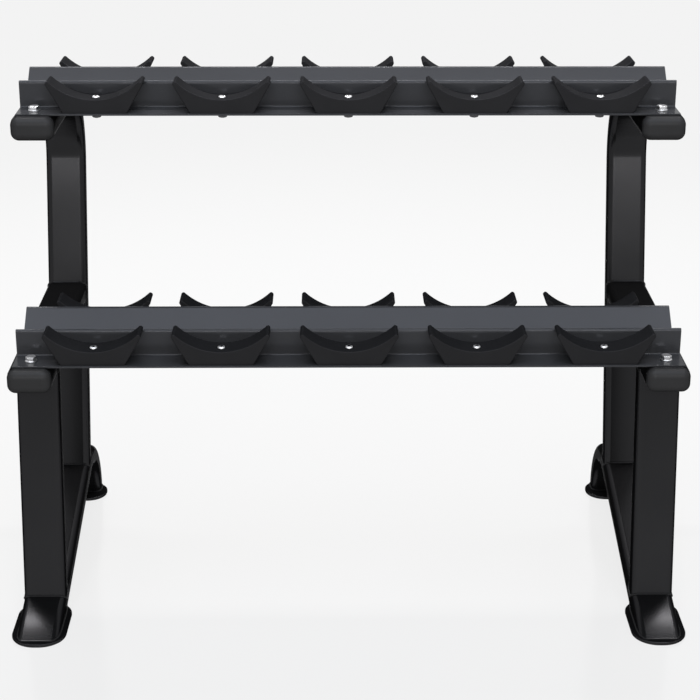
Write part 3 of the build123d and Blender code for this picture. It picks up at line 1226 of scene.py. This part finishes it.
LAMPS = (
    Lamp("strip", (0, 1.2, 3.0), (0, 0.3, 0.3), (3.4, 0.2), 72, (1.0, 0.98, 0.97)),
    Lamp("sky", (0, -0.95, 3.2), (0, -0.6, 0), (3.2, 2.0), 50, (0.84, 0.90, 1.0)),
    Lamp("front", (0, -4.6, 2.35), (0, 0, 0.6), (3.6, 0.5), 64, (1.0, 0.99, 0.98)),
)


@dataclass
class Studio:
    """Pale floor, soft light and the camera."""

    pale: float = 0.896
    floor_reach: float = 14.0
    floor_near: float = 1.2
    floor_far: float = 3.6
    floor_shade: float = 0.10
    floor_glow: float = 0.785
    floor_bounce: float = 0.3
    floor_roughness: float = 0.14
    floor_specular: float = 0.1
    room: float = 0.2
    focal_pixels: float = 1800.0
    frame_pixels: float = 700.0
    eye_side: float = -0.0279
    eye_ahead_of_tray: float = 2.7685
    eye_height: float = 1.5239
    pitch: float = math.radians(20.4)
    yaw: float = math.radians(0.6)
    roll: float = math.radians(-0.087)

    @staticmethod
    def seen(bench: NodeBench) -> Wire:
        """Give 1 for the rays by which the camera, reflections and glass see the background, else 0.

        Args:
            bench: the nodes of the floor's material or of the world.

        Returns:
            The wire that carries it.
        """
        rays = ("Is Camera Ray", "Is Glossy Ray", "Is Transmission Ray")
        camera, glossy, through = (bench.node("ShaderNodeLightPath", output=ray) for ray in rays)
        return bench.maths("MAXIMUM", bench.maths("MAXIMUM", camera, glossy), through)

    def build_floor(self) -> None:
        """Lay the pale floor, which fades into the background away from the rack."""
        work = Workpiece()
        bmesh.ops.create_circle(work.bm, cap_ends=True, segments=FLOOR_STEPS, radius=self.floor_reach)
        mesh = work.mesh("studio_floor")
        material = bpy.data.materials.new("studio_floor")
        material.use_nodes = True
        bench = NodeBench(material.node_tree)
        place = bench.node("ShaderNodeTexCoord", output="Object")
        distance = bench.node("ShaderNodeVectorMath", {"operation": "LENGTH"}, {0: place}, output="Value")
        reach = {"Value": distance, "From Min": self.floor_near, "From Max": self.floor_far}
        far = bench.node("ShaderNodeMapRange", {"interpolation_type": "SMOOTHSTEP"}, reach)
        seen = self.seen(bench)
        near = {
            "Base Color": (self.floor_shade, self.floor_shade, self.floor_shade, 1),
            "Roughness": self.floor_roughness,
            "Specular IOR Level": self.floor_specular,
            "Emission Color": WHITE,
            "Emission Strength": self.floor_bounce + seen * (self.floor_glow - self.floor_bounce),
        }
        near_shader = bench.node("ShaderNodeBsdfPrincipled", None, near)
        strength = self.floor_bounce + seen * (self.pale - self.floor_bounce)
        far_shader = bench.node("ShaderNodeEmission", None, {"Color": WHITE, "Strength": strength})
        mixed = bench.node("ShaderNodeMixShader", None, {0: far, 1: near_shader, 2: far_shader})
        bench.node("ShaderNodeOutputMaterial", None, {"Surface": mixed})
        mesh.materials.append(material)
        floor = bpy.data.objects.new("studio_floor", mesh)
        bpy.context.scene.collection.objects.link(floor)

    def build_world(self) -> None:
        """Fill the room with dim, even light, and let the camera and reflections see pale walls."""
        world = bpy.data.worlds.new("studio_world")
        world.use_nodes = True
        bpy.context.scene.world = world
        bench = NodeBench(world.node_tree)
        strength = self.room + self.seen(bench) * (self.pale - self.room)
        glow = bench.node("ShaderNodeBackground", None, {"Color": WHITE, "Strength": strength})
        bench.node("ShaderNodeOutputWorld", None, {"Surface": glow})

    def build_camera(self) -> None:
        """Set the camera at the photograph's viewing angle."""
        data = bpy.data.cameras.new("camera")
        data.sensor_fit = "HORIZONTAL"
        data.lens = self.focal_pixels / self.frame_pixels * data.sensor_width
        camera = bpy.data.objects.new("camera", data)
        level = math.cos(self.pitch)
        ahead = Vector((math.sin(self.yaw) * level, math.cos(self.yaw) * level, -math.sin(self.pitch)))
        turn = Quaternion(ahead, self.roll) @ ahead.to_track_quat("-Z", "Y")
        camera.rotation_mode = "QUATERNION"
        camera.rotation_quaternion = turn
        tray_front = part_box("lower_tray")[0].y
        camera.location = (self.eye_side, tray_front - self.eye_ahead_of_tray, self.eye_height)
        bpy.context.scene.collection.objects.link(camera)
        bpy.context.scene.camera = camera

    def build(self) -> None:
        """Make the whole studio."""
        bpy.context.scene.view_settings.view_transform = "Standard"
        self.build_floor()
        self.build_world()
        for lamp in LAMPS:
            lamp.hang()
        self.build_camera()


def dress_construction() -> None:
    """Give every node of the construction a finish of its own slot."""
    finishes = {
        Slot.FRAME: FRAME_COAT,
        Slot.TRAY: TRAY_COAT,
        Slot.SADDLE: SADDLE_RUBBER,
        Slot.CAP: CAP_PLASTIC,
        Slot.SOLE: SOLE_RUBBER,
        Slot.ZINC: ZINC,
    }
    for part in frame["record"]["subparts"]:
        node = frame["nodes"][part["node"]]
        node.data.materials.clear()
        node.data.materials.append(finishes[Slot(part["material_slot"])].material())


def main() -> None:
    """Build the rack's looks and its studio."""
    logging.basicConfig(level=logging.INFO, format="%(name)s %(message)s")
    dress_construction()
    for side in Side:
        SideFrame(side).build()
    for tier in Tier:
        Tray(tier).build()
        Fasteners(tier).build()
    Saddle().build()
    Studio().build()


if __name__ == "__main__":
    main()
